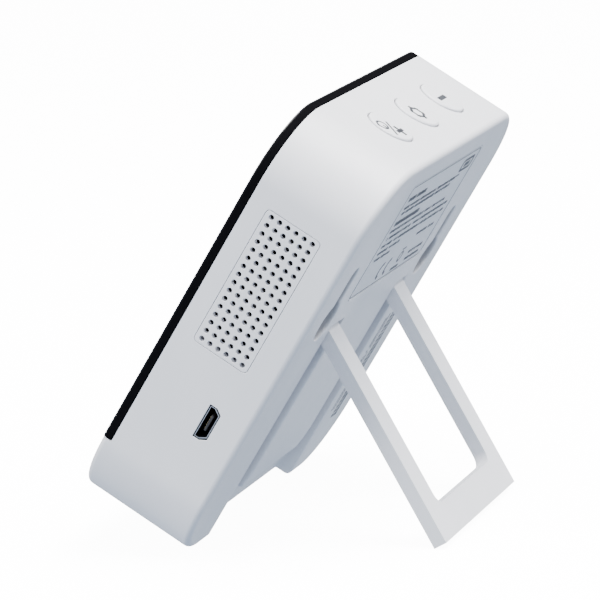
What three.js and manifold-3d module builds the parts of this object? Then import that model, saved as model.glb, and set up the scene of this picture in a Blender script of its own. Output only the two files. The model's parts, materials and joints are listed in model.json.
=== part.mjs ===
// Digital photo frame standing on its kickstand, in millimetres, +Z up.
// The case is modelled upright in its own axes, as seen by someone looking at the screen from behind:
// x across the width (the speaker side is +x), y from the screen (0) to the back, z up from the base.
// One group then leans the case back until its bottom edge and the stand's foot share the table.
import * as THREE from 'three';
import { mergeVertices } from 'three/addons/utils/BufferGeometryUtils.js';
import Module from 'manifold-3d';

const wasm = await Module();
wasm.setup();

// ---------------------------------------------------------------- driving dimensions
const WIDTH = 98.5;
const HEIGHT = 95.5;
const DEPTH = 26;
const CORNER = 15.3;            // corner radius of the case's outline
const BACK_FILLET = 1.3;
const CHIN_FILLET = 1.2;
const WALL = 2.2;
const BACK_WALL = 2.4;
const GAP = 0.3;                // between pieces that touch or move

const PANEL_THICK = 1.9;        // black screen cover
const PANEL_BOTTOM = 15.6;
const PANEL_SEAM = 0.2;

const CHANNEL = { half: 27.2, top: 54.9, depth: 3.6 };     // recess that the stand folds into
const PLATEAU = { half: 18.4, bottom: 9.5, rampTop: 18, drop: 0.7, corner: 1.8 };

const PIVOT = { y: DEPTH - 1.7, z: 52.8 };
const STAND = { half: 26.4, arm: 7, bar: 7.3, length: 51.3, thick: 3, corner: 2.5 };
const STAND_OPEN = THREE.MathUtils.degToRad(60.6);
const PIN = { radius: 0.7, hole: 0.95, inner: 21.6, outer: 31.4 };

const KEYHOLE = { x: 35, z: 58.3, round: 4.7, slot: 2.1, rise: 11.2, undercut: 5, depth: 3.4 };
const LABEL = { width: 52, height: 29, z: 75.3, corner: 1.5, recess: 0.5, thick: 0.2 };

const GRILLE = { y: 12.8, z: 60.4, width: 13.2, height: 32.6, corner: 1, rows: 16, columns: 6 };
const GRILLE_PITCH = 2;
const GRILLE_HOLE = 0.58;
const SPEAKER = { width: 12, height: 30, corner: 3, rim: 1.3, depth: 4, foam: 1.2, magnet: 4.8 };
const SPEAKER_CONE = [[0, 0], [4.1, 0], [4.1, 0.5], [2.2, 1.3], [0, 1.7]];    // radius, height
const USB = { y: 17.7, z: 30.5, length: 7.5, height: 2.6, sheet: 0.25, depth: 5.4, recess: 0.2 };
const USB_CHAMFER = { y: 1.4, z: 0.95 };   // cut off each of the socket's corners towards the back

const BUTTON = { radius: 5.1, hole: 5.4, pitch: 18.6, y: 14.2, proud: 0.4, flange: 6.2, stem: 1.6 };
const BUTTON_NAMES = ['power_plus_button', 'mode_button', 'minus_button'];
const BUTTON_BOARD = { half: 27, y0: 8.4, y1: 20, top: 86.1, thick: 1.6 };
const SWITCH = { side: 6, height: 2, plunger: 1.7, top: 89.3 };
const BUTTON_REST = SWITCH.top + 0.6;     // underside of a button's stem when it isn't pressed

const SCREEN = { width: 76.9, height: 63.9, z: 55.6 };     // outline of the display module
const MID_FRAME = { y0: 2.3, y1: 5.2, inset: 2.55 };
const BOARD = { y0: 14.6, y1: 16.2, half: 38.5, bottom: 8, top: 43 };

const BOARD_SCREWS = [[-34, 12], [34, 12], [-34, 39], [34, 39]];
const FRAME_SCREWS = [[-42.7, 20], [42.7, 20], [-42.7, 84], [42.7, 84]];
const BUTTON_SCREWS = [-9.3, 9.3];
const SCREW_HEAD = 1.2;
const LEAD_RADIUS = 0.45;

// ---------------------------------------------------------------- materials
const finishes = {
  case: { color: 0xe9e9ee, roughness: 0.55, metalness: 0 },
  cover: { color: 0x111114, roughness: 0.12, metalness: 0 },
  board: { color: 0x1f5a38, roughness: 0.6, metalness: 0 },
  chip: { color: 0x1b1b1d, roughness: 0.5, metalness: 0 },
  black: { color: 0x1c1c1e, roughness: 0.6, metalness: 0 },
  steel: { color: 0xb9bcc0, roughness: 0.3, metalness: 1 },
  foam: { color: 0x2a2a2c, roughness: 0.95, metalness: 0 },
  ribbon: { color: 0xb7772b, roughness: 0.4, metalness: 0 },
  label: { color: 0xc9ced6, roughness: 0.5, metalness: 0 },
  paper: { color: 0x3a3734, roughness: 0.9, metalness: 0 },
  leadRed: { color: 0xb02a22, roughness: 0.5, metalness: 0 },
  glass: { color: 0x20242a, roughness: 0.08, metalness: 0 },
};

function named(name, geometry, finish) {
  const mesh = new THREE.Mesh(geometry, new THREE.MeshStandardMaterial(finishes[finish]));
  mesh.name = name;
  return mesh;
}

// ---------------------------------------------------------------- outlines and extrusions
const X = new THREE.Vector3(1, 0, 0);
const Y = new THREE.Vector3(0, 1, 0);
const Z = new THREE.Vector3(0, 0, 1);

function roundedRect(width, height, radius, cx = 0, cy = 0) {
  const [x, y] = [width / 2 - radius, height / 2 - radius];
  const shape = new THREE.Shape();
  shape.absarc(cx + x, cy + y, radius, 0, Math.PI / 2);
  shape.absarc(cx - x, cy + y, radius, Math.PI / 2, Math.PI);
  shape.absarc(cx - x, cy - y, radius, Math.PI, 1.5 * Math.PI);
  shape.absarc(cx + x, cy - y, radius, 1.5 * Math.PI, 2 * Math.PI);
  shape.closePath();
  return shape;
}

function rectangle(x0, x1, y0, y1) {
  return new THREE.Shape([[x0, y0], [x1, y0], [x1, y1], [x0, y1]].map(([x, y]) => new THREE.Vector2(x, y)));
}

function circle(radius, cx = 0, cy = 0) {
  return new THREE.Shape().absarc(cx, cy, radius, 0, 2 * Math.PI);
}

function extruded(shape, depth, segments, bevel) {
  const edge = bevel && {
    bevelEnabled: true, bevelSize: bevel, bevelThickness: bevel, bevelOffset: -bevel, bevelSegments: 3,
  };
  const options = edge ?? { bevelEnabled: false };
  const length = depth - (bevel ? 2 * bevel : 0);
  const geometry = new THREE.ExtrudeGeometry(shape, { depth: length, curveSegments: segments, ...options });
  return geometry.translate(0, 0, bevel ?? 0);
}

// An outline drawn in (x, z) and drawn out along y from y0 to y1.
function acrossY(shape, y0, y1, segments = 4, bevel = undefined) {
  const turn = new THREE.Matrix4().makeBasis(X, Z, Y.clone().negate());
  return extruded(shape, y1 - y0, segments, bevel).applyMatrix4(turn).translate(0, y1, 0);
}

// An outline drawn in (y, z) and drawn out along x from x0 to x1.
function acrossX(shape, x0, x1, segments = 4) {
  const turn = new THREE.Matrix4().makeBasis(Y, Z, X);
  return extruded(shape, x1 - x0, segments).applyMatrix4(turn).translate(x0, 0, 0);
}

// An outline drawn in (x, y) and drawn out along z from z0 to z1.
function acrossZ(shape, z0, z1, segments = 4) {
  return extruded(shape, z1 - z0, segments).translate(0, 0, z0);
}

// A profile of (radius, distance along the axis) turned about y.
function lathe(profile, sides) {
  return new THREE.LatheGeometry(profile.map(([r, h]) => new THREE.Vector2(r, h)), sides);
}

function block(x0, x1, y0, y1, z0, z1) {
  return acrossZ(rectangle(x0, x1, y0, y1), z0, z1);
}

// ---------------------------------------------------------------- joins and cuts
function solid(geometry) {
  const bare = geometry.clone();
  bare.deleteAttribute('normal');
  bare.deleteAttribute('uv');
  const merged = mergeVertices(bare, 1e-4);
  return new wasm.Manifold(new wasm.Mesh({
    numProp: 3,
    vertProperties: merged.attributes.position.array,
    triVerts: new Uint32Array(merged.index.array),
  }));
}

function geometryOf(body) {
  const mesh = body.getMesh();
  const geometry = new THREE.BufferGeometry();
  geometry.setAttribute('position', new THREE.BufferAttribute(new Float32Array(mesh.vertProperties), 3));
  geometry.setIndex(new THREE.BufferAttribute(new Uint32Array(mesh.triVerts), 1));
  geometry.computeVertexNormals();
  return geometry;
}

function joined(first, additions) {
  return additions.reduce((body, geometry) => body.add(solid(geometry)), first);
}

function cut(first, removals) {
  return removals.reduce((body, geometry) => body.subtract(solid(geometry)), first);
}

const bothSides = [-1, 1];

function spanX(side, inner, outer) {
  return side > 0 ? [inner, outer] : [-outer, -inner];
}

// ---------------------------------------------------------------- rear housing
const CASE_Z = HEIGHT / 2;
const CAVITY_BACK = DEPTH - BACK_WALL;

function keyholeOutline(x) {
  const shape = new THREE.Shape();
  const lean = Math.asin(KEYHOLE.slot / KEYHOLE.round);
  shape.absarc(x, KEYHOLE.z, KEYHOLE.round, Math.PI / 2 + lean, 2.5 * Math.PI - lean);
  shape.absarc(x, KEYHOLE.z + KEYHOLE.rise, KEYHOLE.slot, 0, Math.PI);
  shape.closePath();
  return shape;
}

function slotOutline(x, radius) {
  const shape = new THREE.Shape();
  shape.absarc(x, KEYHOLE.z, radius, Math.PI, 2 * Math.PI);
  shape.absarc(x, KEYHOLE.z + KEYHOLE.rise, radius, 0, Math.PI);
  shape.closePath();
  return shape;
}

function housingShell() {
  const outline = roundedRect(WIDTH, HEIGHT, CORNER, 0, CASE_Z);
  const inner = roundedRect(WIDTH - 2 * WALL, HEIGHT - 2 * WALL, CORNER - WALL, 0, CASE_Z);
  const outside = solid(acrossY(outline, -10, DEPTH, 6, BACK_FILLET))
    .intersect(solid(acrossY(outline, 0, DEPTH + 10, 6, CHIN_FILLET)));
  const chinTop = PANEL_BOTTOM - PANEL_SEAM;
  const cavity = solid(acrossY(inner, -1, CAVITY_BACK, 6))
    .subtract(solid(block(-WIDTH, WIDTH, -2, BACK_WALL, -1, chinTop)));
  const panelSpace = block(-WIDTH, WIDTH, -1, PANEL_THICK + PANEL_SEAM, chinTop, HEIGHT + 1);
  return cut(outside.subtract(cavity), [panelSpace]);
}

function housingBlocks() {
  const back = DEPTH - 1.5;
  const channelFloor = DEPTH - CHANNEL.depth;
  const blocks = [block(-CHANNEL.half - 2.4, CHANNEL.half + 2.4, channelFloor - 2, back, 1, 57.5)];
  for (const side of bothSides) {
    const keyX = side * KEYHOLE.x;
    const reach = KEYHOLE.undercut + 1.2;
    blocks.push(block(keyX - reach, keyX + reach, 19, back, 51.5, 76.5));
    const [x0, x1] = spanX(side, CHANNEL.half + 1, PIN.outer + 1.6);
    blocks.push(block(x0, x1, 19.5, back, 49.3, 57.5));
  }
  for (const [x, z] of BOARD_SCREWS) blocks.push(acrossY(circle(2.8, x, z), BOARD.y1 + GAP, back, 5));
  for (const [x, z] of FRAME_SCREWS) blocks.push(acrossY(circle(3, x, z), MID_FRAME.y1 + GAP, back, 5));
  for (const x of BUTTON_SCREWS) {
    blocks.push(acrossZ(circle(2.5, x, BUTTON.y), BUTTON_BOARD.top + GAP, HEIGHT - 1, 5));
  }
  return blocks;
}

function standChannel() {
  const { half, top, depth } = CHANNEL;
  const recess = solid(block(-half, half, DEPTH - depth, DEPTH + 1, -1, top));
  const plateauTop = top + 5;
  const height = plateauTop - PLATEAU.bottom;
  const middle = (plateauTop + PLATEAU.bottom) / 2;
  const plateau = roundedRect(2 * PLATEAU.half, height, PLATEAU.corner, 0, middle);
  return recess.subtract(solid(acrossY(plateau, DEPTH - depth - 1, DEPTH + 2, 3)));
}

function plateauRamp() {
  const shape = new THREE.Shape();
  const low = PLATEAU.bottom - 0.5;
  shape.moveTo(DEPTH, PLATEAU.rampTop);
  shape.quadraticCurveTo(DEPTH - 0.05, (PLATEAU.rampTop + low) / 2, DEPTH - PLATEAU.drop, low);
  shape.lineTo(DEPTH + 1, low);
  shape.lineTo(DEPTH + 1, PLATEAU.rampTop);
  shape.closePath();
  const reach = PLATEAU.half + 1;
  return acrossX(shape, -reach, reach, 6);
}

function rearHousing() {
  const labelOutline = roundedRect(LABEL.width, LABEL.height, LABEL.corner, 0, LABEL.z);
  const openings = [
    plateauRamp(),
    acrossY(labelOutline, DEPTH - LABEL.recess, DEPTH + 1, 2),
    acrossX(roundedRect(GRILLE.width, GRILLE.height, GRILLE.corner, GRILLE.y, GRILLE.z), 45, WIDTH, 2),
    acrossX(new THREE.Shape(usbOutline(GAP)), 45, WIDTH),
  ];
  for (const side of bothSides) {
    const keyX = side * KEYHOLE.x;
    openings.push(acrossY(keyholeOutline(keyX), CAVITY_BACK - 0.2, DEPTH + 1, 6));
    const floor = CAVITY_BACK - KEYHOLE.depth;
    openings.push(acrossY(slotOutline(keyX, KEYHOLE.undercut), floor, CAVITY_BACK, 5));
    const [x0, x1] = spanX(side, CHANNEL.half - 1, PIN.outer + GAP);
    openings.push(acrossX(circle(PIN.hole, PIVOT.y, PIVOT.z), x0, x1, 6));
  }
  BUTTON_NAMES.forEach((_, i) => {
    openings.push(acrossZ(circle(BUTTON.hole, buttonX(i), BUTTON.y), 92, HEIGHT + 2, 10));
  });
  for (const [x, z] of BOARD_SCREWS) openings.push(acrossY(circle(1.3, x, z), BOARD.y1, 22.3, 3));
  for (const [x, z] of FRAME_SCREWS) openings.push(acrossY(circle(1.3, x, z), MID_FRAME.y1, 13.3, 3));
  for (const x of BUTTON_SCREWS) {
    openings.push(acrossZ(circle(1.2, x, BUTTON.y), BUTTON_BOARD.top, BUTTON_BOARD.top + 5.3, 3));
  }
  const body = cut(joined(housingShell(), housingBlocks()).subtract(standChannel()), openings);
  return named('rear_housing', geometryOf(body), 'case');
}

// ---------------------------------------------------------------- screen side
function frontPanel() {
  const full = roundedRect(WIDTH, HEIGHT, CORNER, 0, CASE_Z);
  const body = cut(solid(acrossY(full, 0, PANEL_THICK, 6)), [
    block(-WIDTH, WIDTH, -1, PANEL_THICK + 1, -1, PANEL_BOTTOM),
  ]);
  return named('front_panel', geometryOf(body), 'cover');
}

function midFrame() {
  const width = WIDTH - 2 * MID_FRAME.inset;
  const z0 = PANEL_BOTTOM + 0.3;
  const z1 = HEIGHT - MID_FRAME.inset;
  const tall = roundedRect(width, HEIGHT - 2 * MID_FRAME.inset, CORNER - MID_FRAME.inset, 0, CASE_Z);
  const window = rectangle(-SCREEN.width / 2 - GAP, SCREEN.width / 2 + GAP,
    SCREEN.z - SCREEN.height / 2 - GAP, SCREEN.z + SCREEN.height / 2 + GAP);
  const removals = [
    block(-WIDTH, WIDTH, 0, DEPTH, -1, z0),
    acrossY(window, 0, DEPTH),
  ];
  for (const [x, z] of FRAME_SCREWS) {
    removals.push(acrossY(circle(1.3, x, z), 0, DEPTH, 3));
    removals.push(acrossY(circle(2.5, x, z), 0, 4.4, 4));
  }
  const body = cut(solid(acrossY(tall, MID_FRAME.y0, MID_FRAME.y1, 5)), removals);
  return named('mid_frame', geometryOf(body), 'black');
}

function screenPiece(name, y0, y1, finish) {
  const z = SCREEN.z - SCREEN.height / 2;
  const half = SCREEN.width / 2;
  return named(name, block(-half, half, y0, y1, z, z + SCREEN.height), finish);
}

// ---------------------------------------------------------------- circuit boards
function mainBoard() {
  const outline = new THREE.Shape();
  const { half, bottom, top } = BOARD;
  const reach = WIDTH / 2 - WALL - 1.5;
  outline.moveTo(-half, bottom);
  outline.lineTo(half, bottom);
  outline.lineTo(half, USB.z - 5.5);
  outline.lineTo(reach, USB.z - 5.5);
  outline.lineTo(reach, USB.z + 5.5);
  outline.lineTo(half, USB.z + 5.5);
  outline.lineTo(half, top);
  outline.lineTo(-half, top);
  outline.closePath();
  for (const [x, z] of BOARD_SCREWS) {
    outline.holes.push(new THREE.Path().absarc(x, z, 1.4, 0, 2 * Math.PI, true));
  }
  return named('main_board', acrossY(outline, BOARD.y0, BOARD.y1, 4), 'board');
}

function onBoard(name, x, z, width, height, thick, finish = 'chip') {
  const front = BOARD.y0 - GAP;
  const geometry = block(x - width / 2, x + width / 2, front - thick, front, z - height / 2, z + height / 2);
  return named(name, geometry, finish);
}

function usbOutline(grow) {
  const halfZ = USB.length / 2 + grow;
  const front = USB.y - USB.height / 2 - grow;
  const back = USB.y + USB.height / 2 + grow;
  const { y: cutY, z: cutZ } = USB_CHAMFER;
  return [[front, -halfZ], [back - cutY, -halfZ], [back, -halfZ + cutZ], [back, halfZ - cutZ],
    [back - cutY, halfZ], [front, halfZ]].map(([y, z]) => new THREE.Vector2(y, USB.z + z));
}

function usbSocket() {
  const mouth = WIDTH / 2 - USB.recess;
  const shell = new THREE.Shape(usbOutline(0));
  shell.holes.push(new THREE.Path(usbOutline(-USB.sheet)));
  const tongue = rectangle(USB.y - 0.3, USB.y + 0.3, USB.z - 1.9, USB.z + 1.9);
  const seat = rectangle(USB.y - 0.75, USB.y + 0.75, USB.z - 2.6, USB.z + 2.6);
  const seatFront = mouth - USB.depth + 1.1;
  const core = joined(solid(acrossX(tongue, seatFront - 0.1, mouth - 0.6)), [
    acrossX(seat, seatFront - 0.9, seatFront),
  ]);
  return [
    named('usb_shell', acrossX(shell, mouth - USB.depth, mouth), 'steel'),
    named('usb_tongue', geometryOf(core), 'black'),
  ];
}

// ---------------------------------------------------------------- screws
// Pan head at the start, shank along +z: the caller turns it to its own direction.
function screwGeometry(head, shank, radius) {
  const end = SCREW_HEAD + shank;
  const profile = [[0, 0], [head, 0], [head, SCREW_HEAD], [radius, SCREW_HEAD], [radius, end], [0, end]];
  return lathe(profile, 8).rotateX(Math.PI / 2);
}

function screwsAlongY(prefix, places, headBack, shank) {
  return places.map(([x, z], i) => {
    const geometry = screwGeometry(1.9, shank, 0.9).rotateX(-Math.PI / 2)
      .translate(x, headBack - SCREW_HEAD, z);
    return named(`${prefix}_${i + 1}`, geometry, 'steel');
  });
}

function buttonBoardScrews() {
  const below = BUTTON_BOARD.top - BUTTON_BOARD.thick - GAP - SCREW_HEAD;
  return BUTTON_SCREWS.map((x, i) =>
    named(`button_board_screw_${i + 1}`, screwGeometry(1.7, 6, 0.8).translate(x, BUTTON.y, below), 'steel'));
}

// ---------------------------------------------------------------- speaker
function speakerGrille() {
  const face = roundedRect(GRILLE.width - 0.4, GRILLE.height - 0.4, GRILLE.corner - 0.2, GRILLE.y, GRILLE.z);
  const flange = roundedRect(GRILLE.width + 1.2, GRILLE.height + 1.6, 1.6, GRILLE.y, GRILLE.z);
  flange.holes.push(roundedRect(GRILLE.width - 1.4, GRILLE.height - 1.4, 0.6, GRILLE.y, GRILLE.z));
  const inside = WIDTH / 2 - WALL - GAP;
  for (let row = 0; row < GRILLE.rows; row += 1) {
    for (let column = 0; column < GRILLE.columns; column += 1) {
      const y = GRILLE.y + (column - (GRILLE.columns - 1) / 2) * GRILLE_PITCH;
      const z = GRILLE.z + (row - (GRILLE.rows - 1) / 2) * GRILLE_PITCH;
      face.holes.push(new THREE.Path().absarc(y, z, GRILLE_HOLE, 0, 2 * Math.PI, true));
    }
  }
  const plate = solid(acrossX(face, inside - 0.1, WIDTH / 2, 3));
  const rim = solid(acrossX(flange, inside - 0.7, inside, 2));
  return named('speaker_grille', geometryOf(plate.add(rim)), 'case');
}

function speakerPieces() {
  const front = WIDTH / 2 - WALL - 1.3;
  const { width, height, corner, rim, depth, foam } = SPEAKER;
  const outer = () => roundedRect(width, height, corner, GRILLE.y, GRILLE.z);
  const well = () => roundedRect(width - 2 * rim, height - 2 * rim, corner - 1, GRILLE.y, GRILLE.z);
  const ring = outer();
  ring.holes.push(well());
  const basketFront = front - foam - GAP;
  const basket = cut(solid(acrossX(outer(), basketFront - depth, basketFront)), [
    acrossX(well(), basketFront - depth + 1, basketFront + 1),
  ]);
  const cone = lathe(SPEAKER_CONE, 12).rotateX(Math.PI / 2).rotateY(Math.PI / 2)
    .scale(1, 1, 3).translate(basketFront - depth + 1 + GAP, GRILLE.y, GRILLE.z);
  const magnetBack = basketFront - depth - GAP;
  const magnetDisc = circle(SPEAKER.magnet, GRILLE.y, GRILLE.z);
  return [
    named('speaker_gasket', acrossX(ring, front - foam, front, 2), 'foam'),
    named('speaker_basket', geometryOf(basket), 'black'),
    named('speaker_cone', cone, 'paper'),
    named('speaker_magnet', acrossX(magnetDisc, magnetBack - 2.4, magnetBack, 8), 'steel'),
  ];
}

function speakerLead(name, depth, finish) {
  const points = [[39.7, depth - 4, 48], [35, depth - 3.8, 47.6], [31.5, depth - 2.6, 45.5],
    [30.2, depth - 1, 42], [29.8, depth, 38], [29.6, depth, 34]];
  const route = new THREE.CatmullRomCurve3(points.map((point) => new THREE.Vector3(...point)));
  const along = { extrudePath: route, steps: 14, curveSegments: 3 };
  return named(name, new THREE.ExtrudeGeometry(circle(LEAD_RADIUS), along), finish);
}

// A flexible ribbon: its route is drawn in (y, z), its thickness on one side, its width along x.
function ribbon(name, x, width, route) {
  const curve = new THREE.CatmullRomCurve3(route.map(([y, z]) => new THREE.Vector3(y, z, 0)));
  const points = curve.getPoints(14);
  const offset = points.map((point, i) => {
    const ahead = points[Math.min(i + 1, points.length - 1)];
    const behind = points[Math.max(i - 1, 0)];
    const along = ahead.clone().sub(behind).normalize();
    return new THREE.Vector2(point.x - along.y * 0.3, point.y + along.x * 0.3);
  });
  const near = points.map((point) => new THREE.Vector2(point.x, point.y));
  const shape = new THREE.Shape([...near, ...offset.reverse()]);
  return named(name, acrossX(shape, x - width / 2, x + width / 2), 'ribbon');
}

// ---------------------------------------------------------------- buttons
function buttonX(index) {
  return (1 - index) * BUTTON.pitch;
}

function button(name, index) {
  const inside = HEIGHT - WALL;
  const crown = HEIGHT + BUTTON.proud;
  const profile = [[0, BUTTON_REST], [BUTTON.stem, BUTTON_REST], [BUTTON.stem, inside - 1.3],
    [BUTTON.flange, inside - 1.3], [BUTTON.flange, inside - GAP], [BUTTON.radius, inside - GAP],
    [BUTTON.radius, crown - 0.4], [BUTTON.radius - 0.5, crown], [0, crown]];
  const geometry = lathe(profile, 20).rotateX(Math.PI / 2).translate(buttonX(index), BUTTON.y, 0);
  return named(name, geometry, 'case');
}

function tactSwitch(index) {
  const base = BUTTON_BOARD.top + GAP;
  const half = SWITCH.side / 2;
  const x = buttonX(index);
  const housing = block(x - half, x + half, BUTTON.y - half, BUTTON.y + half, base, base + SWITCH.height);
  const plunger = acrossZ(circle(SWITCH.plunger, x, BUTTON.y), base + 1, SWITCH.top, 4);
  const body = joined(solid(housing), [plunger]);
  return named(`tact_switch_${index + 1}`, geometryOf(body), 'black');
}

function buttonBoard() {
  const { half, y0, y1, top, thick } = BUTTON_BOARD;
  const outline = rectangle(-half, half, y0, y1);
  for (const x of BUTTON_SCREWS) {
    outline.holes.push(new THREE.Path().absarc(x, BUTTON.y, 1.2, 0, 2 * Math.PI, true));
  }
  return named('button_board', acrossZ(outline, top - thick, top, 4), 'board');
}

// ---------------------------------------------------------------- kickstand
// Modelled folded, hanging from its pivot at the origin; its group opens it.
function kickstand() {
  const { half, arm, bar, length, thick, corner } = STAND;
  const plate = solid(block(-half, half, -thick / 2, thick / 2, -length, 0));
  const open = half - arm;
  const tall = length - bar + 10;
  const window = acrossY(roundedRect(2 * open, tall, corner, 0, tall / 2 - (length - bar)), -thick, thick, 3);
  const eyes = bothSides.map((side) => acrossX(circle(thick / 2), ...spanX(side, open, half), 8));
  const bore = circle(PIN.hole);
  const holes = bothSides.map((side) => acrossX(bore, ...spanX(side, PIN.inner - GAP, half + 1), 6));
  return named('kickstand', geometryOf(cut(joined(plate.subtract(solid(window)), eyes), holes)), 'case');
}

function hingePins() {
  return bothSides.map((side) => {
    const geometry = acrossX(circle(PIN.radius), ...spanX(side, PIN.inner, PIN.outer), 5);
    return named(side > 0 ? 'hinge_pin_speaker_side' : 'hinge_pin_far_side', geometry, 'steel');
  });
}

function ratingLabel() {
  const inset = 2 * GAP;
  const shape = roundedRect(LABEL.width - inset, LABEL.height - inset, LABEL.corner - GAP, 0, LABEL.z);
  return named('rating_label', acrossY(shape, DEPTH - LABEL.thick, DEPTH, 2), 'label');
}

// ---------------------------------------------------------------- assembly
const screenBottom = SCREEN.z - SCREEN.height / 2;
const caseGroup = new THREE.Group();
caseGroup.add(
  rearHousing(), frontPanel(), midFrame(), ratingLabel(), speakerGrille(), ...speakerPieces(),
  screenPiece('display_glass', 2.2, 3.4, 'glass'),
  screenPiece('backlight_unit', 3.7, 6.2, 'steel'),
  mainBoard(), ...usbSocket(), buttonBoard(),
  onBoard('processor_chip', -6, 26, 14, 14, 1.2),
  onBoard('memory_chip', 12, 28, 9, 12, 1),
  onBoard('flash_chip', 12, 14, 8, 6, 1),
  onBoard('power_inductor', 28, 24, 6, 6, 2.6),
  onBoard('display_connector', -6, 11.5, 26, 3, 1.4),
  onBoard('button_connector', -26, 35, 10, 3, 1.4),
  speakerLead('speaker_lead_plus', 13.7, 'leadRed'),
  speakerLead('speaker_lead_minus', 12.2, 'black'),
  ribbon('display_ribbon', -6, 22, [[6.6, screenBottom + 6], [6.8, screenBottom - 2],
    [8.5, screenBottom - 8], [11.2, screenBottom - 9.4], [12.2, 10.4]]),
  ribbon('button_ribbon', -26, 8, [[12, 84.1], [11.4, 80], [11.6, 60], [12.1, 40], [12.3, 37.2]]),
  ...BUTTON_NAMES.map((_, i) => tactSwitch(i)),
  ...screwsAlongY('board_screw', BOARD_SCREWS, BOARD.y0 - GAP, 6),
  ...screwsAlongY('frame_screw', FRAME_SCREWS, 4.1, 7),
  ...buttonBoardScrews(),
  ...BUTTON_NAMES.map(button),
);

const standGroup = new THREE.Group();
standGroup.add(kickstand(), ...hingePins());
standGroup.position.set(0, PIVOT.y, PIVOT.z);
standGroup.rotation.x = STAND_OPEN;
caseGroup.add(standGroup);

// The case leans until the lowest point of its rounded bottom edge is level with the foot's lower edge:
// the foot is reachY behind and reachZ above the centre of that edge's rounding.
const footY = PIVOT.y + STAND.length * Math.sin(STAND_OPEN) - (STAND.thick / 2) * Math.cos(STAND_OPEN);
const footZ = PIVOT.z - STAND.length * Math.cos(STAND_OPEN) - (STAND.thick / 2) * Math.sin(STAND_OPEN);
const reachY = footY - (DEPTH - BACK_FILLET);
const reachZ = footZ - BACK_FILLET;
const lean = Math.acos(-BACK_FILLET / Math.hypot(reachY, reachZ)) - Math.atan2(reachY, reachZ);
caseGroup.rotation.x = -lean;

// The origin is the middle of the footprint, on the table.
const group = new THREE.Group();
group.add(caseGroup);
const extent = new THREE.Box3().setFromObject(group, true);
const middle = extent.getCenter(new THREE.Vector3());
caseGroup.position.set(-middle.x, -middle.y, -extent.min.z);

export default group;
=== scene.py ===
"""Digital photo frame on its kickstand: the moulded shells, prints and finishes round its working parts.

Shapes are drawn in millimetres in the case's own axes, as the case stands upright: x across the width
(the speaker side is +x), y from the screen (0) to the back, z up from the base. Each finished mesh is
then laid into the frame by one matrix, which is worked out from the frame's own joints.
"""
import json
import math

import bmesh
import bpy
from mathutils import Euler, Matrix, Vector


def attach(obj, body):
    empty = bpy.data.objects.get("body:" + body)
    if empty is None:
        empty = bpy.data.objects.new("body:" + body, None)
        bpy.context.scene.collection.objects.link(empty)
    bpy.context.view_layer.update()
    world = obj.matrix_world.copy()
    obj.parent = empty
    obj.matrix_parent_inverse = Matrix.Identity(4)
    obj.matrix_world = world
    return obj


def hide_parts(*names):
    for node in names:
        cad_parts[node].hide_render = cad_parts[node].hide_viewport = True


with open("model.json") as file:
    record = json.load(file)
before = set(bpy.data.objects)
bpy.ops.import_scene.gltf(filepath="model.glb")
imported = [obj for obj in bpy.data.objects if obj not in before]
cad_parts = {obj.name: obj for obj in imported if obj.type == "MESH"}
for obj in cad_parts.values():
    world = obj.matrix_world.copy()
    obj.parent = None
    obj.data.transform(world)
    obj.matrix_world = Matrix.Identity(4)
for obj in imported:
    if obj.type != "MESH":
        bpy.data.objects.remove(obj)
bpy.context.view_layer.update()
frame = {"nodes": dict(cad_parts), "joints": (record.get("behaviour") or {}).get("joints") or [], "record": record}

MM = 0.001

# ---------------------------------------------------------------- sizes of the case, in mm
WIDTH, HEIGHT, DEPTH = 98.5, 95.5, 26.0
CORNER = 15.3
BACK_FILLET, CHIN_FILLET = 1.3, 1.2
WALL, BACK_WALL = 2.2, 2.4
MIDDLE_Z = HEIGHT / 2

COVER_THICK, COVER_SHEET, COVER_BOTTOM, COVER_SEAM = 1.9, 0.35, 15.6, 0.2
SCREEN_Z = 55.6
ACTIVE_WIDTH, ACTIVE_HEIGHT = 70.1, 52.6

CHANNEL_HALF, CHANNEL_TOP, CHANNEL_FLOOR = 27.2, 54.9, DEPTH - 3.6
CHANNEL_CORNER, CHANNEL_LIP, PAN_WALL = 0.6, 0.35, 2.4
PLATEAU_HALF, PLATEAU_BOTTOM, RAMP_TOP, RAMP_DROP = 18.4, 9.5, 18.0, 0.7

PIVOT_Y, PIVOT_Z = 24.3, 52.8
STAND_HALF, STAND_ARM, STAND_BAR, STAND_LENGTH, STAND_THICK = 26.4, 7.0, 7.3, 51.3, 3.0
STAND_CORNER = 2.5
STAND_OPEN = math.radians(60.6)
PIN_HOLE, PIN_INNER, PIN_OUTER = 0.95, 21.3, 31.7

KEY_X, KEY_Z, KEY_ROUND, KEY_SLOT, KEY_RISE = 35.0, 58.3, 4.7, 2.1, 11.2
KEY_UNDERCUT, KEY_DEPTH = 5.0, 3.4

LABEL_WIDTH, LABEL_HEIGHT, LABEL_Z, LABEL_CORNER = 52.0, 29.0, 75.3, 1.5
LABEL_RECESS, LABEL_THICK = 0.5, 0.2

GRILLE_Y, GRILLE_Z, GRILLE_WIDTH, GRILLE_HEIGHT = 12.8, 60.4, 13.2, 32.6
GRILLE_ROWS, GRILLE_COLUMNS, GRILLE_PITCH, GRILLE_HOLE = 16, 6, 2.0, 0.58
GRILLE_GAP, GRILLE_FRAME, GRILLE_LIP = 0.2, 1.4, 0.07

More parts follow.
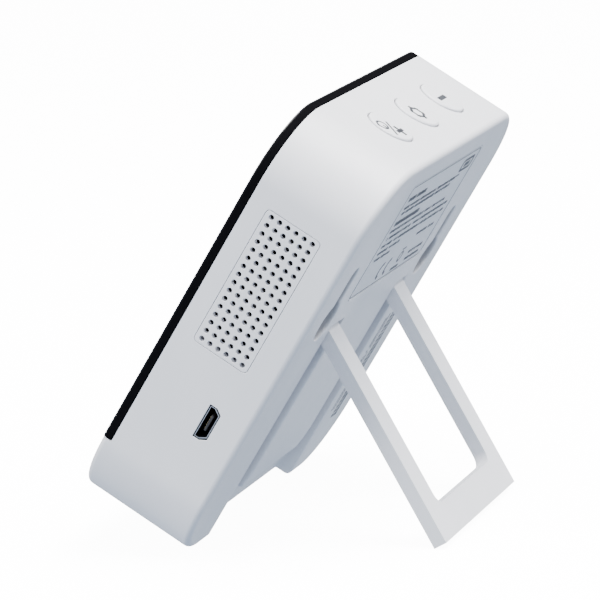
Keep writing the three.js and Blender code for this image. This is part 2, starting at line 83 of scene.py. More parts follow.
USB_Y, USB_Z, USB_LENGTH, USB_HEIGHT = 17.7, 30.5, 7.5, 2.6
USB_CHAMFER = 1.4, 0.95         # how much each back corner is cut off, along y and along z
USB_MOUTH, USB_DEPTH = WIDTH / 2 - 0.2, 5.4
# the third value is the thickness of the near-black sheet that paints the shade inside the receptacle
USB_CLEARANCE, USB_SHEET, USB_SHADE_SHEET = 0.24, 0.15, 0.07
TONGUE_TIP, TONGUE_ROOT, TONGUE_THICK, TONGUE_LENGTH = USB_MOUTH - 0.6, USB_MOUTH - 4.4, 0.6, 3.8
CONTACT_PITCH, CONTACT_HALF = 0.65, 0.18

BUTTON_PITCH, BUTTON_Y, BUTTON_RADIUS, BUTTON_HOLE = 18.6, 14.2, 5.1, 5.4
BUTTON_CROWN = HEIGHT + 0.4
FLANGE_RADIUS, STEM_RADIUS, STEM_FOOT = 6.2, 1.6, 89.9
BUTTONS = {"power_plus": BUTTON_PITCH, "mode": 0.0, "minus": -BUTTON_PITCH}

BOARD_SCREWS = [(-34, 12), (34, 12), (-34, 39), (34, 39)]
FRAME_SCREWS = [(-42.7, 20), (42.7, 20), (-42.7, 84), (42.7, 84)]
BUTTON_SCREWS = [-9.3, 9.3]
BOARD_BOSS, FRAME_BOSS, BUTTON_BOSS = 2.8, 3.0, 2.5
BOSS_BORE, BUTTON_BOSS_BORE = 1.3, 1.2
SIDE_OPENINGS, TOP_OPENINGS = 45.0, 92.0    # the depth, in x and in z, that openings in the walls reach
SIDES = (-1, 1)

CAMERA_LENS = 255.16
CAMERA_PLACE = (0.84335, 0.28167, 0.23306)
CAMERA_TURN = (78.1119, 1.3379, 108.3438)


# ---------------------------------------------------------------- the case's place in the frame
def joint(name):
    return next(j for j in frame["joints"] if j["name"] == name)


def case_place():
    """Matrix from the upright case's millimetres to metres in the frame."""
    across = Vector((1, 0, 0))
    up = Vector(joint("mode_press")["axis"]).normalized()
    back = up.cross(across)
    turn = Matrix((across, back, up)).transposed()
    pivot = Vector(joint("stand_hinge")["pos_m"])
    origin = pivot - turn @ Vector((0, PIVOT_Y, PIVOT_Z)) * MM
    return Matrix.Translation(origin) @ turn.to_4x4() @ Matrix.Scale(MM, 4)


CASE = case_place()
STAND = CASE @ Matrix.Translation((0, PIVOT_Y, PIVOT_Z)) @ Matrix.Rotation(STAND_OPEN, 4, "X")


# ---------------------------------------------------------------- camera
def make_camera():
    data = bpy.data.cameras.new("camera")
    data.lens = CAMERA_LENS
    data.sensor_width = 36
    data.clip_start = 0.01
    camera = bpy.data.objects.new("camera", data)
    camera.location = CAMERA_PLACE
    camera.rotation_euler = Euler([math.radians(angle) for angle in CAMERA_TURN])
    bpy.context.scene.collection.objects.link(camera)
    bpy.context.scene.camera = camera


make_camera()


# ---------------------------------------------------------------- shader recipes
def sum_of(operation, swapped=False):
    """A Signal's operator, which adds one math node; swapped puts the other value first."""
    def apply(self, other):
        values = (other, self) if swapped else (self, other)
        return self.recipe.node("ShaderNodeMath", {"operation": operation},
                                {"Value": values[0], "Value_001": values[1]})
    return apply


class Signal:
    """A shader socket that works in sums like a number."""

    def __init__(self, recipe, socket):
        self.recipe, self.socket = recipe, socket

    __add__ = __radd__ = sum_of("ADD")
    __mul__ = __rmul__ = sum_of("MULTIPLY")
    __sub__ = sum_of("SUBTRACT")
    __rsub__ = sum_of("SUBTRACT", swapped=True)
    __lt__ = sum_of("LESS_THAN")


class Recipe:
    """A material under way: its Principled shader's constants, and the nodes that vary over the surface."""

    def __init__(self, name, **constants):
        self.material = bpy.data.materials.new(name)
        self.material.use_nodes = True
        self.tree = self.material.node_tree
        self.shader = self.tree.nodes["Principled BSDF"]
        for socket, value in constants.items():
            self.shader.inputs[socket.replace("_", " ")].default_value = value

    def plug(self, socket, value):
        if isinstance(value, Signal):
            self.tree.links.new(value.socket, socket)
        else:
            socket.default_value = value

    def node(self, kind, settings=None, values=None, output=0):
        made = self.tree.nodes.new(kind)
        for setting, value in (settings or {}).items():
            if setting == "stops":
                self.set_stops(made.color_ramp, value)
            else:
                setattr(made, setting, value)
        for key, value in (values or {}).items():
            self.plug(next(s for s in made.inputs if key in (s.identifier, s.name)), value)
        outputs = {s.identifier: s for s in made.outputs}
        return Signal(self, outputs[output] if output in outputs else made.outputs[output])

    @staticmethod
    def set_stops(ramp, stops):
        for index, (position, level) in enumerate(stops):
            stop = ramp.elements[index] if index < len(ramp.elements) else ramp.elements.new(position)
            stop.position = position
            stop.color = (level, level, level, 1)

    def place(self):
        return self.node("ShaderNodeTexCoord", output="Object")

    def noise(self, per_metre, detail=2.0, stretch=(1, 1, 1)):
        mapping = {"Vector": self.place(), "Scale": stretch}
        spot = self.node("ShaderNodeMapping", {}, mapping)
        return self.node("ShaderNodeTexNoise", {}, {"Vector": spot, "Scale": per_metre, "Detail": detail})

    def ramp(self, signal, *stops):
        return self.node("ShaderNodeValToRGB", {"stops": stops}, {"Fac": signal})

    def mix(self, factor, first, second):
        return self.node("ShaderNodeMix", {"data_type": "RGBA"},
                         {"Factor_Float": factor, "A_Color": first, "B_Color": second}, "Result_Color")

    def bump(self, height, metres, strength=1.0):
        return self.node("ShaderNodeBump", {}, {"Strength": strength, "Distance": metres, "Height": height})

    def feed(self, **links):
        for socket, value in links.items():
            self.plug(self.shader.inputs[socket.replace("_", " ")], value)
        return self.material


def white_plastic(name="white_plastic", painted_shade=None):
    """Moulded ABS: a spark-eroded satin skin, faint flow marks and uneven gloss, with painted shade darkening its
    colour where asked.
    """
    recipe = Recipe(name, Specular_IOR_Level=0.42)
    flow = recipe.noise(38, 3.0, (1, 1, 0.35))
    grain = recipe.noise(5200, 2.0)
    pits = recipe.noise(1900, 1.0)
    tone = recipe.ramp(flow, (0.35, 0.0), (0.7, 1.0))
    skin = recipe.bump(grain * 0.65 + pits * 0.35, 0.000012, 0.55)
    gloss = 0.37 + 0.09 * tone + 0.05 * grain
    colour = recipe.mix(tone, (0.80, 0.80, 0.825, 1), (0.74, 0.745, 0.775, 1))
    if painted_shade:
        # painted shade: the colour is mixed towards dark grey where the shade mask is high
        colour = recipe.mix(painted_shade(recipe), colour, (0.20, 0.205, 0.22, 1))
    return recipe.feed(Base_Color=colour, Roughness=gloss, Normal=skin)


def size_of(recipe, value):
    """The value without its sign."""
    return recipe.node("ShaderNodeMath", {"operation": "ABSOLUTE"}, {"Value": value})


def within(recipe, distance, reach):
    """1 where the distance is less than the reach either way, 0 past it."""
    return size_of(recipe, distance) < reach


def painted_recess_shade(recipe):
    """How far painted shade darkens the plastic's colour: down the walls of the keyholes and of the stand's
    channel.
    """
    x, y, z = case_coordinates(recipe)
    deep = DEPTH - y
    back_half = deep < 9.0
    beside = within(recipe, size_of(recipe, x) - KEY_X, KEY_UNDERCUT + 0.5)
    keyholes = beside * within(recipe, z - (KEY_Z + 5), 12.0)
    channel = within(recipe, x, CHANNEL_HALF + 0.6) * (z < CHANNEL_TOP + 0.6)
    above_bar = recipe.ramp(z * 0.05, (0.15, 0.2), (0.7, 1.0))
    in_keyhole = recipe.ramp(deep, (0.1, 0.0), (0.8, 1.0)) * keyholes
    in_channel = recipe.ramp(deep * 0.25, (0.12, 0.0), (0.6, 1.0)) * channel * above_bar
    return back_half * (0.6 * in_keyhole + 0.45 * in_channel)


def screen_cover():
    """Gloss black sheet whose display area is a touch bluer than its border, with wiping smears."""
    recipe = Recipe("screen_cover", IOR=1.45, Specular_IOR_Level=0.3)
    x, _, z = case_coordinates(recipe)
    smears = recipe.ramp(recipe.noise(55, 4.0, (1, 1, 3.5)), (0.42, 0.0), (0.72, 1.0))
    specks = recipe.ramp(recipe.noise(2600, 1.0), (0.68, 0.0), (0.74, 1.0))
    picture = within(recipe, x, ACTIVE_WIDTH / 2) * within(recipe, z - SCREEN_Z, ACTIVE_HEIGHT / 2)
    film = recipe.mix(picture, (0.012, 0.012, 0.013, 1), (0.005, 0.006, 0.009, 1))
    tone = recipe.mix(specks * 0.3, film, (0.04, 0.04, 0.042, 1))
    return recipe.feed(Base_Color=tone, Roughness=0.1 + 0.012 * smears)


def black_backing_and_shade():
    """Matt black that soaks up nearly all light: the sheet's backing, and painted shade at the socket, as
    near-black sheets inside the receptacle and in the gap round it.
    """
    recipe = Recipe("black_backing_and_shade", Specular_IOR_Level=0.0)
    grain = recipe.noise(1800, 2.0)
    tone = recipe.mix(grain, (0.0025, 0.0025, 0.003, 1), (0.005, 0.005, 0.006, 1))
    return recipe.feed(Base_Color=tone, Roughness=0.34 + 0.1 * grain)


def case_coordinates(recipe):
    """A point's x, y and z in the upright case, in millimetres, as three signals."""
    turn = CASE.inverted()
    here = recipe.node("ShaderNodeMapping", {"vector_type": "POINT"}, {
        "Vector": recipe.place(), "Location": turn.translation, "Rotation": turn.to_euler(),
        "Scale": turn.to_scale()})
    split = recipe.node("ShaderNodeSeparateXYZ", {}, {"Vector": here}).socket.node
    return [Signal(recipe, split.outputs[axis]) for axis in "XYZ"]


def satin_black():
    recipe = Recipe("black_plastic", Specular_IOR_Level=0.4)
    grain = recipe.noise(3800, 2.0)
    cloud = recipe.noise(160, 2.0)
    tone = recipe.mix(cloud, (0.018, 0.018, 0.02, 1), (0.03, 0.03, 0.033, 1))
    skin = recipe.bump(grain, 0.00001, 0.6)
    return recipe.feed(Base_Color=tone, Roughness=0.45 + 0.2 * grain, Normal=skin)


def pressed_steel():
    """Nickel-plated sheet with fine drawing marks and a few duller patches."""
    recipe = Recipe("steel", Metallic=1.0)
    drawn = recipe.noise(900, 3.0, (0.15, 1, 1))
    patches = recipe.ramp(recipe.noise(420, 2.0), (0.4, 0.0), (0.75, 1.0))
    tone = recipe.mix(patches, (0.66, 0.66, 0.67, 1), (0.5, 0.49, 0.48, 1))
    marks = recipe.bump(drawn, 0.000006, 0.5)
    return recipe.feed(Base_Color=tone, Roughness=0.2 + 0.2 * drawn + 0.08 * patches, Normal=marks)


def contact_brass():
    recipe = Recipe("contact_brass", Metallic=1.0)
    wear = recipe.noise(1500, 2.0)
    tone = recipe.mix(wear, (0.84, 0.62, 0.25, 1), (0.68, 0.47, 0.2, 1))
    return recipe.feed(Base_Color=tone, Roughness=0.22 + 0.2 * wear)


def circuit_board():
    """Solder mask over copper: the tracks show as a lighter, slightly raised weave of runs."""
    recipe = Recipe("circuit_board", Specular_IOR_Level=0.5)
    cells = recipe.node("ShaderNodeTexVoronoi", {"feature": "DISTANCE_TO_EDGE"},
                        {"Vector": recipe.place(), "Scale": 420.0}, "Distance")
    tracks = recipe.ramp(cells, (0.06, 1.0), (0.1, 0.0))
    weave = recipe.noise(1600, 2.0)
    tone = recipe.mix(tracks, (0.012, 0.07, 0.035, 1), (0.03, 0.16, 0.07, 1))
    raised = recipe.bump(tracks + 0.2 * weave, 0.00003, 0.6)
    return recipe.feed(Base_Color=tone, Roughness=0.32 + 0.15 * weave, Normal=raised)


def display_glass():
    recipe = Recipe("display_glass", IOR=1.52)
    haze = recipe.noise(90, 3.0)
    tone = recipe.mix(haze, (0.012, 0.014, 0.018, 1), (0.018, 0.02, 0.026, 1))
    return recipe.feed(Base_Color=tone, Roughness=0.05 + 0.06 * haze)


def ribbon_film():
    """Amber polyimide film with copper runs showing through along its length."""
    recipe = Recipe("ribbon_film", Specular_IOR_Level=0.5)
    runs = recipe.node("ShaderNodeTexWave", {"bands_direction": "X"},
                       {"Vector": recipe.place(), "Scale": 320.0})
    stripes = recipe.ramp(runs, (0.4, 0.0), (0.55, 1.0))
    tone = recipe.mix(stripes, (0.35, 0.15, 0.03, 1), (0.62, 0.33, 0.09, 1))
    return recipe.feed(Base_Color=tone, Roughness=0.28 + 0.12 * stripes)


def open_foam():
    recipe = Recipe("foam", Specular_IOR_Level=0.2)
    cells = recipe.node("ShaderNodeTexVoronoi", {"feature": "F1"},
                        {"Vector": recipe.place(), "Scale": 3000.0}, "Distance")
    tone = recipe.mix(cells, (0.012, 0.012, 0.013, 1), (0.05, 0.05, 0.052, 1))
    return recipe.feed(Base_Color=tone, Roughness=0.95, Normal=recipe.bump(cells, 0.00015, 0.8))


def cone_paper():
    recipe = Recipe("cone_paper", Specular_IOR_Level=0.25)
    fibres = recipe.noise(2200, 4.0, (1, 0.3, 1))
    tone = recipe.mix(fibres, (0.02, 0.019, 0.018, 1), (0.07, 0.065, 0.06, 1))
    return recipe.feed(Base_Color=tone, Roughness=0.8 + 0.15 * fibres,
                       Normal=recipe.bump(fibres, 0.00004, 0.7))


def lead_sleeve():
    recipe = Recipe("red_lead", Specular_IOR_Level=0.45)
    wax = recipe.noise(800, 2.0)
    tone = recipe.mix(wax, (0.42, 0.025, 0.02, 1), (0.5, 0.04, 0.03, 1))
    return recipe.feed(Base_Color=tone, Roughness=0.35 + 0.15 * wax)


def label_film():
    """Printed polyester film: a cooler satin than the case, with the faint tooth of its laminate."""
    recipe = Recipe("label_film", Specular_IOR_Level=0.45)
    tooth = recipe.noise(3200, 2.0)
    cloud = recipe.noise(70, 2.0)
    tone = recipe.mix(cloud, (0.72, 0.73, 0.765, 1), (0.68, 0.695, 0.735, 1))
    return recipe.feed(Base_Color=tone, Roughness=0.36 + 0.12 * tooth,
                       Normal=recipe.bump(tooth, 0.000006, 0.5))


def print_ink(name, dark, pale):
    """Screen-printed ink, thinner in places."""
    recipe = Recipe(name, Specular_IOR_Level=0.35)
    cover = recipe.ramp(recipe.noise(2400, 3.0), (0.35, 0.0), (0.8, 1.0))
    return recipe.feed(Base_Color=recipe.mix(cover, dark, pale), Roughness=0.5 + 0.12 * cover)


MATERIALS = {
    "white_plastic": white_plastic(), "screen_cover": screen_cover(), "display_glass": display_glass(),
    "circuit_board": circuit_board(), "steel": pressed_steel(), "ribbon_film": ribbon_film(),
    "label_film": label_film(), "foam": open_foam(), "cone_paper": cone_paper(),
    "red_lead": lead_sleeve(), "black_plastic": satin_black(),
}
LABEL_INK = print_ink("label_ink", (0.055, 0.06, 0.075, 1), (0.13, 0.14, 0.165, 1))
BUTTON_INK = print_ink("button_ink", (0.022, 0.025, 0.032, 1), (0.045, 0.05, 0.06, 1))


# ---------------------------------------------------------------- outlines
def arc(cu, cv, radius, start, end, steps):
    return [(cu + radius * math.cos(a), cv + radius * math.sin(a))
            for a in (math.radians(start + (end - start) * i / steps) for i in range(steps + 1))]


def rounded(width, height, radius, cu=0.0, cv=0.0, steps=14):
    """Outline maker: a rounded rectangle, which a positive grow makes larger all round."""
    def outline(grow=0.0):
        u, v = width / 2 - radius, height / 2 - radius
        r = max(radius + grow, 0.01)
        return [p for k, (su, sv) in enumerate(((1, 1), (-1, 1), (-1, -1), (1, -1)))
                for p in arc(cu + su * u, cv + sv * v, r, 90 * k, 90 * (k + 1), steps)]
    return outline


def round_hole(radius, cu=0.0, cv=0.0, steps=64, start=0):
    def outline(grow=0.0):
        return arc(cu, cv, radius + grow, start, start + 360 * (steps - 1) / steps, steps - 1)
    return outline


def keyhole(x):
    """A round mouth with a narrow slot rising from it, for a screw's head and its shank."""
    def outline(grow=0.0):
        radius, slot = KEY_ROUND + grow, KEY_SLOT + grow
        lean = math.degrees(math.asin(slot / radius))
        return (arc(x, KEY_Z, radius, 90 + lean, 450 - lean, 40)
                + arc(x, KEY_Z + KEY_RISE, slot, 0, 180, 16))
    return outline


def long_hole(x, radius):
    """The room behind a keyhole, in which the screw's head slides up."""
    def outline(grow=0.0):
        return (arc(x, KEY_Z, radius + grow, 180, 360, 16)
                + arc(x, KEY_Z + KEY_RISE, radius + grow, 0, 180, 16))
    return outline


def polygon(*points):
    """Outline maker: the points as they are, whatever the grow."""
    def outline(grow=0.0):
        return list(points)
    return outline


# ---------------------------------------------------------------- solids
PLACES = {
    "x": lambda u, v, d: (d, u, v),
    "y": lambda u, v, d: (u, d, v),
    "z": lambda u, v, d: (u, v, d),
}


def mesh_from(points, faces):
    mesh = bpy.data.meshes.new("draft")
    mesh.from_pydata(points, [], faces)
    work = bmesh.new()
    work.from_mesh(mesh)
    bmesh.ops.remove_doubles(work, verts=work.verts, dist=1e-5)
    bmesh.ops.dissolve_degenerate(work, edges=work.edges, dist=1e-5)
    bmesh.ops.recalc_face_normals(work, faces=work.faces)
    work.to_mesh(mesh)
    work.free()
    return mesh


def skin(rings):
    """Closed mesh through rings of equally many points, capped at both ends."""
    count = len(rings[0])
    faces = [tuple(reversed(range(count))), tuple(range((len(rings) - 1) * count, len(rings) * count))]
    for level in range(len(rings) - 1):
        low, high = level * count, (level + 1) * count
        for i in range(count):
            j = (i + 1) % count
            faces.append((low + i, low + j, high + j, high + i))
    return mesh_from([p for ring in rings for p in ring], faces)


def prism(outline, levels, along):
    """Solid with the outline as its section: levels are (distance along the axis, grow)."""
    place = PLACES[along]
    return skin([[place(u, v, d) for u, v in outline(grow)] for d, grow in levels])


def straight(low, high):
    return [(low, 0.0), (high, 0.0)]


def outer_edge(face, inward, radius, steps=8):
    """Levels of a rounded outer edge, from the end face inwards."""
    turns = [math.pi / 2 * (1 - i / steps) for i in range(steps + 1)]
    return [(face + inward * radius * (1 - math.sin(a)), -radius * (1 - math.cos(a))) for a in turns]


def rounded_ends(low, high, low_radius, high_radius):
    return outer_edge(low, 1, low_radius) + list(reversed(outer_edge(high, -1, high_radius)))


def mouth(face, inward, radius, floor, floor_radius=0.0, steps=6):
    """Levels of a cutter whose hole has a rounded lip at the face and soft corners at its floor."""
    turns = [math.pi / 2 * i / steps for i in range(steps + 1)]
    lip = [(face + inward * radius * (1 - math.cos(a)), radius * (1 - math.sin(a))) for a in turns]
    levels = [(face - inward, radius)] + lip
    if floor_radius:
        return levels + list(reversed(outer_edge(floor, -inward, floor_radius, 4)))
    return levels + [(floor, 0.0)]


def block(x0, x1, y0, y1, z0, z1):
    return prism(polygon((x0, y0), (x1, y0), (x1, y1), (x0, y1)), straight(z0, z1), "z")


def shaped(first, operation, tools):
    """The mesh after each tool in turn is joined to it or cut from it."""
    body = bpy.data.objects.new("draft_body", first)
    bpy.context.scene.collection.objects.link(body)
    helpers = []
    for tool in tools:
        helper = bpy.data.objects.new("draft_tool", tool)
        bpy.context.scene.collection.objects.link(helper)
        step = body.modifiers.new("step", "BOOLEAN")
        step.operation, step.object, step.solver = operation, helper, "EXACT"
        helpers.append(helper)
    result = settled(body)
    for helper in [body, *helpers]:
        bpy.data.objects.remove(helper)
    return result


def cut(first, *tools):
    return shaped(first, "DIFFERENCE", tools)


def join(first, *tools):
    return shaped(first, "UNION", tools)


def settled(thing):
    """The object's mesh with its modifiers worked in."""
    ready = thing.evaluated_get(bpy.context.evaluated_depsgraph_get())
    return bpy.data.meshes.new_from_object(ready)


def merged(*meshes):
    """Several separate solids in one mesh."""
    work = bmesh.new()
    for mesh in meshes:
        work.from_mesh(mesh)
    together = bpy.data.meshes.new("draft")
    work.to_mesh(together)
    work.free()
    return together


# ---------------------------------------------------------------- finished pieces
def finished(name, mesh, body, slot, nodes=(), place=CASE, material=None):
    """Puts a mesh in the frame as a named piece with smooth tangents, and rides it on its body."""
    mesh.transform(place)
    mesh.name = name
    piece = bpy.data.objects.new(name, mesh)
    bpy.context.scene.collection.objects.link(piece)
    mesh.shade_smooth()
    mesh.set_sharp_from_angle(angle=math.radians(31))
    evening = piece.modifiers.new("evening", "WEIGHTED_NORMAL")
    evening.keep_sharp, evening.weight = True, 100
    plain = settled(piece)
    piece.modifiers.clear()
    piece.data = plain
    plain.name = name
    plain.materials.clear()
    plain.materials.append(material or MATERIALS[slot])
    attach(piece, body)
    if nodes:
        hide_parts(*nodes)
    return piece


# ---------------------------------------------------------------- rear housing
def housing_blocks():
    """What stands inside the shell: the channel's pan, the keyhole pockets, hinge ears and screw bosses."""
    back = DEPTH - 1.5
    pan = CHANNEL_HALF + PAN_WALL
    blocks = [block(-pan, pan, CHANNEL_FLOOR - 2, back, 1.2, 57.5)]
    for side in SIDES:
        reach = KEY_UNDERCUT + 1.2
        middle = side * KEY_X
        blocks.append(block(middle - reach, middle + reach, 18.9, back + 0.03, 51.4, 76.5))
        inner, outer = sorted((side * (CHANNEL_HALF + 1), side * (PIN_OUTER + 1.6)))
        blocks.append(block(inner, outer, 19.4, back + 0.06, 49.3, 57.6))
    for x, z in BOARD_SCREWS:
        blocks.append(prism(round_hole(BOARD_BOSS, x, z, 20), straight(16.5, back + 0.09), "y"))
    for x, z in FRAME_SCREWS:
        blocks.append(prism(round_hole(FRAME_BOSS, x, z, 20), straight(5.5, back + 0.12), "y"))
    for x in BUTTON_SCREWS:
        blocks.append(prism(round_hole(BUTTON_BOSS, x, BUTTON_Y, 20), straight(86.4, HEIGHT - 1), "z"))
    return blocks


def hollow():
    """The space inside the shell, behind the screen and above the chin."""
    inner = rounded(WIDTH - 2 * WALL, HEIGHT - 2 * WALL, CORNER - WALL, 0, MIDDLE_Z, 10)
    space = prism(inner, straight(-1, DEPTH - BACK_WALL), "y")
    chin = block(-WIDTH, WIDTH, -2, BACK_WALL, -1, COVER_BOTTOM - COVER_SEAM)
    return cut(space, chin, *housing_blocks())


def plateau():
    """The raised middle of the stand's channel, with its lower end eased down and rounded."""
    edge, nose, foot = 0.55, 1.8, CHANNEL_FLOOR - 1.5

    def section(z):
        ramp = min(max((RAMP_TOP - z) / (RAMP_TOP - PLATEAU_BOTTOM), 0.0), 1.0)
        past = max(PLATEAU_BOTTOM + nose - z, 0.0) / nose
        inset = nose * (1 - math.sqrt(max(1 - past * past, 0.0)))
        dip = 1.1 * (1 - math.sqrt(max(1 - past ** 4, 0.0)))
        half, top = PLATEAU_HALF - inset, DEPTH - RAMP_DROP * ramp * ramp - dip
        if z > CHANNEL_TOP:
            top = DEPTH + 2
        near = arc(half - edge, top - edge, edge, 0, 90, 6)
        return [(u, d, z) for u, d in [(half, foot), *near, *((-u, d) for u, d in reversed(near)),
                                       (-half, foot)]]

    nose_steps = [PLATEAU_BOTTOM + nose * (1 - math.cos(math.pi / 2 * i / 10)) for i in range(11)]
    ramp_steps = [nose_steps[-1] + (RAMP_TOP - nose_steps[-1]) * i / 8 for i in range(1, 9)]
    return skin([section(z) for z in (*nose_steps, *ramp_steps, CHANNEL_TOP - 1)])


def stand_channel():
    """The recess that takes the folded stand: a U round the plateau, open at the base."""
    def outline(grow=0.0):
        half, top, corner = CHANNEL_HALF + grow, CHANNEL_TOP + grow, CHANNEL_CORNER
        return [(half, -2.0), *arc(half - corner, top - corner, corner, 0, 90, 4),
                *arc(corner - half, top - corner, corner, 90, 180, 4), (-half, -2.0)]

    recess = prism(outline, mouth(DEPTH, -1, CHANNEL_LIP, CHANNEL_FLOOR, 0.5), "y")
    bridge = block(-PLATEAU_HALF, PLATEAU_HALF, CHANNEL_FLOOR - 1.4, DEPTH + 2.5,
                   CHANNEL_TOP - 1.5, CHANNEL_TOP + 4)
    return cut(recess, plateau(), bridge)


def rear_housing():
    """The case's one-piece tub, with every opening cut into it."""
    outline = rounded(WIDTH, HEIGHT, CORNER, 0, MIDDLE_Z, 22)
    shell = prism(outline, rounded_ends(0, DEPTH, CHIN_FILLET, BACK_FILLET), "y")
    chin_top = COVER_BOTTOM - COVER_SEAM
    tools = [
        hollow(),
        block(-WIDTH, WIDTH, -1, COVER_THICK + COVER_SEAM, chin_top, HEIGHT + 1),
        stand_channel(),
        prism(rounded(LABEL_WIDTH, LABEL_HEIGHT, LABEL_CORNER, 0, LABEL_Z, 6),
              mouth(DEPTH, -1, 0.12, DEPTH - LABEL_RECESS), "y"),
        prism(rounded(GRILLE_WIDTH, GRILLE_HEIGHT, 1, GRILLE_Y, GRILLE_Z, 6),
              mouth(WIDTH / 2, -1, 0.12, SIDE_OPENINGS), "x"),
        prism(lambda grow: usb_outline(USB_CLEARANCE + grow), mouth(WIDTH / 2, -1, 0.1, SIDE_OPENINGS), "x"),
    ]
    for side in SIDES:
        x = side * KEY_X
        tools.append(prism(keyhole(x), mouth(DEPTH, -1, 0.3, DEPTH - BACK_WALL - 0.2), "y"))
        floor = DEPTH - BACK_WALL - KEY_DEPTH
        tools.append(prism(long_hole(x, KEY_UNDERCUT), straight(floor, DEPTH - BACK_WALL), "y"))
        ends = sorted((side * (CHANNEL_HALF - 1), side * PIN_OUTER))
        tools.append(prism(round_hole(PIN_HOLE, PIVOT_Y, PIVOT_Z, 24), straight(*ends), "x"))
    for x in BUTTONS.values():
        tools.append(prism(round_hole(BUTTON_HOLE, x, BUTTON_Y), mouth(HEIGHT, -1, 0.2, TOP_OPENINGS), "z"))
    for x, z in BOARD_SCREWS:
        tools.append(prism(round_hole(BOSS_BORE, x, z, 12), straight(16, 22.3), "y"))
    for x, z in FRAME_SCREWS:
        tools.append(prism(round_hole(BOSS_BORE, x, z, 12), straight(5, 13.3), "y"))
    for x in BUTTON_SCREWS:
        tools.append(prism(round_hole(BUTTON_BOSS_BORE, x, BUTTON_Y, 12), straight(86, 91.4), "z"))
    # the case's plastic carries painted shade down the walls of its keyholes and of the stand's channel
    finished("rear_shell", cut(shell, *tools), "case", "white_plastic", ["rear_housing"],
             material=white_plastic("case_plastic", painted_recess_shade))


def front_cover():
    """A thin gloss sheet with a rounded front edge, bonded to a black backing."""
    outline = rounded(WIDTH, HEIGHT, CORNER, 0, MIDDLE_Z, 22)
    below = block(-WIDTH, WIDTH, -1, COVER_THICK + 1, -1, COVER_BOTTOM)
    gloss = cut(prism(outline, rounded_ends(0, COVER_SHEET, 0.28, 0.02), "y"), below)
    backing = cut(prism(outline, rounded_ends(COVER_SHEET, COVER_THICK, 0.02, 0.12), "y"), below)
    finished("screen_sheet", gloss, "case", "screen_cover", ["front_panel"])
    finished("screen_backing", backing, "case", "black_plastic", material=black_backing_and_shade())


# ---------------------------------------------------------------- repeats made with geometry nodes
class Tree:
    """A geometry node tree under way, with named inputs."""

    def __init__(self, name, **inputs):
        self.group = bpy.data.node_groups.new(name, "GeometryNodeTree")
        self.group.interface.new_socket("Geometry", in_out="INPUT", socket_type="NodeSocketGeometry")
        self.keys = {}
        for label, kind in inputs.items():
            socket = self.group.interface.new_socket(label, in_out="INPUT", socket_type=f"NodeSocket{kind}")
            self.keys[label] = socket.identifier
        self.group.interface.new_socket("Geometry", in_out="OUTPUT", socket_type="NodeSocketGeometry")
        self.entry = self.group.nodes.new("NodeGroupInput")

    def input(self, label):
        return self.entry.outputs[label]

    def node(self, kind, settings=None, values=None, output=0):
        made = self.group.nodes.new(kind)
        for setting, value in (settings or {}).items():
            setattr(made, setting, value)
        for key, value in (values or {}).items():
            socket = next(s for s in made.inputs if key in (s.identifier, s.name))
            if isinstance(value, bpy.types.NodeSocket):
                self.group.links.new(value, socket)
            else:
                socket.default_value = value
        return made.outputs[output]

    def finish(self, geometry):
        whole = self.node("GeometryNodeRealizeInstances", {}, {"Geometry": geometry})
        dressed = self.node("GeometryNodeSetMaterial", {}, {"Geometry": whole,
                                                            "Material": self.input("Material")})
        exit_node = self.group.nodes.new("NodeGroupOutput")
        self.group.links.new(dressed, exit_node.inputs[0])
        return self

    def run(self, mesh, **values):
        """The plain mesh that the tree makes from a mesh and its named inputs."""
        worker = bpy.data.objects.new("draft_worker", mesh)
        bpy.context.scene.collection.objects.link(worker)
        step = worker.modifiers.new("repeat", "NODES")
        step.node_group = self.group
        for label, value in values.items():
            step[self.keys[label]] = value
        result = settled(worker)
        bpy.data.objects.remove(worker)
        return result


def perforation_tree():
    """Drills a grid of countersunk round holes through a plate that faces +z."""
    tree = Tree("perforation", Pitch="Float", Columns="Int", Rows="Int", Radius="Float", Lip="Float",
                Material="Material")
    span = {}
    for label in ("Columns", "Rows"):
        gaps = tree.node("ShaderNodeMath", {"operation": "SUBTRACT"},
                         {"Value": tree.input(label), "Value_001": 1.0})
        span[label] = tree.node("ShaderNodeMath", {"operation": "MULTIPLY"},
                                {"Value": gaps, "Value_001": tree.input("Pitch")})
    grid = tree.node("GeometryNodeMeshGrid", {}, {
        "Size X": span["Columns"], "Size Y": span["Rows"],
        "Vertices X": tree.input("Columns"), "Vertices Y": tree.input("Rows")})
    bore = tree.node("GeometryNodeMeshCylinder", {}, {"Vertices": 20, "Radius": tree.input("Radius"),
                                                      "Depth": 12.0})
    wide = tree.node("ShaderNodeMath", {"operation": "ADD"},
                     {"Value": tree.input("Radius"), "Value_001": tree.input("Lip")})
    wider = tree.node("ShaderNodeMath", {"operation": "ADD"},
                      {"Value": wide, "Value_001": tree.input("Lip")})
    deep = tree.node("ShaderNodeMath", {"operation": "MULTIPLY"},
                     {"Value": tree.input("Lip"), "Value_001": 2.0})
    sink = tree.node("GeometryNodeMeshCone", {}, {"Vertices": 20, "Radius Top": wider,
                                                  "Radius Bottom": tree.input("Radius"), "Depth": deep})
    down = tree.node("ShaderNodeMath", {"operation": "MULTIPLY"},
                     {"Value": tree.input("Lip"), "Value_001": -1.0})
    lift = tree.node("ShaderNodeCombineXYZ", {}, {"Z": down})
    seated = tree.node("GeometryNodeTransform", {}, {"Geometry": sink, "Translation": lift})
    drill = tree.node("GeometryNodeMeshBoolean", {"operation": "UNION", "solver": "EXACT"},
                      {"Mesh 2": bore})
    tree.group.links.new(seated, drill.node.inputs["Mesh 2"])
    holes = tree.node("GeometryNodeInstanceOnPoints", {}, {"Points": grid, "Instance": drill})
    every = tree.node("GeometryNodeRealizeInstances", {}, {"Geometry": holes})
    plate = tree.node("GeometryNodeMeshBoolean", {"operation": "DIFFERENCE", "solver": "EXACT"},
                      {"Mesh 1": tree.input("Geometry"), "Mesh 2": every})
    return tree.finish(plate)


